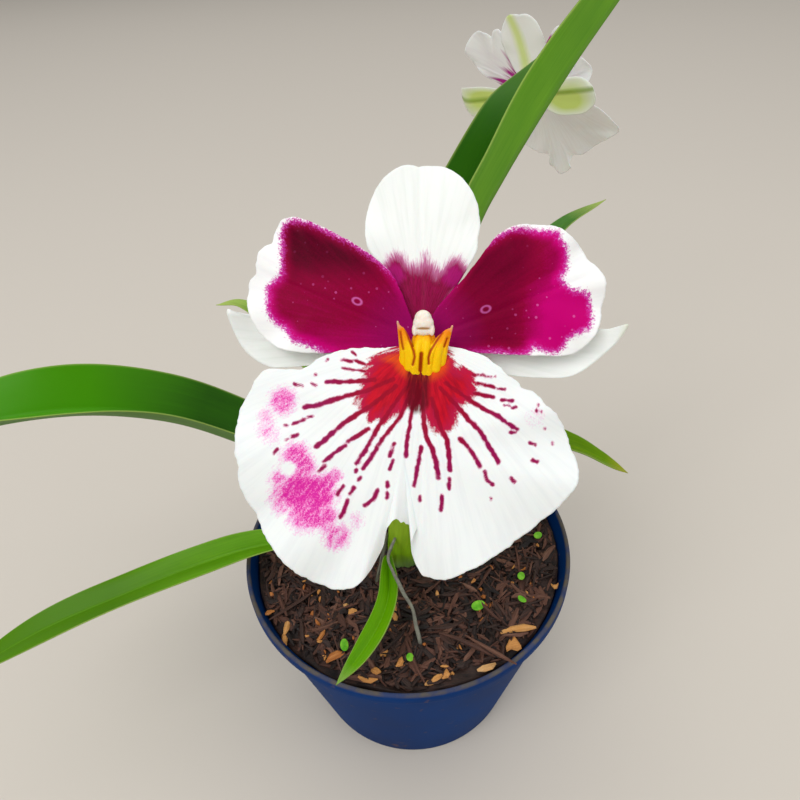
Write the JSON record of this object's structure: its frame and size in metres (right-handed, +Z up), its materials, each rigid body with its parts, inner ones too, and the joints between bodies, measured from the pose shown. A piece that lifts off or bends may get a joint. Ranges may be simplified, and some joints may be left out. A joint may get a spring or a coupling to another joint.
{
  "type": "potted miltonia orchid",
  "caption": "Small orchid plant in a tapered nursery pot of bark mix: arching strap leaves from flattened bulbs, and flat pansy-like flowers with broad lips on thin stalks.",
  "frame": {"origin": "centre of the pot's flat underside", "axes": "+Z up, -Y to the side that the near flower faces, +X to the viewer's right"},
  "size_m": [0.2438, 0.2258, 0.2436],
  "materials": {
    "pot_plastic": "satin moulded nursery-pot plastic, deep blue",
    "bark_mix": "damp dark brown shredded bark with paler chips",
    "pseudobulb": "smooth waxy light green plant skin",
    "leaf": "glossy green leaf, darker above than below",
    "aerial_root": "dry grey-green root skin",
    "flower_stalk": "smooth green stalk",
    "sepal": "soft white petal tissue with fine veins",
    "petal": "velvety dark magenta petal tissue with a white margin",
    "lip": "soft white petal tissue with a red fan, red streaks and a pink blotch",
    "column": "smooth cream flesh"
  },
  "bodies": {
    "root": {"pot": "pot_plastic", "potting_mix": "bark_mix", "front_pseudobulb": "pseudobulb", "rear_pseudobulb": "pseudobulb", "top_leaf": "leaf", "left_upper_leaf": "leaf", "left_lower_leaf": "leaf", "front_leaf": "leaf", "right_leaf": "leaf", "back_right_leaf": "leaf", "back_left_leaf": "leaf", "aerial_root": "aerial_root", "front_flower_stalk": "flower_stalk", "rear_flower_stalk": "flower_stalk", "front_dorsal_sepal": "sepal", "front_left_petal": "petal", "front_right_petal": "petal", "front_left_lateral_sepal": "sepal", "front_right_lateral_sepal": "sepal", "front_lip": "lip", "front_column": "column", "rear_dorsal_sepal": "sepal", "rear_left_petal": "petal", "rear_right_petal": "petal", "rear_left_lateral_sepal": "sepal", "rear_right_lateral_sepal": "sepal", "rear_lip": "lip", "rear_column": "column"}
  },
  "joints": []
}
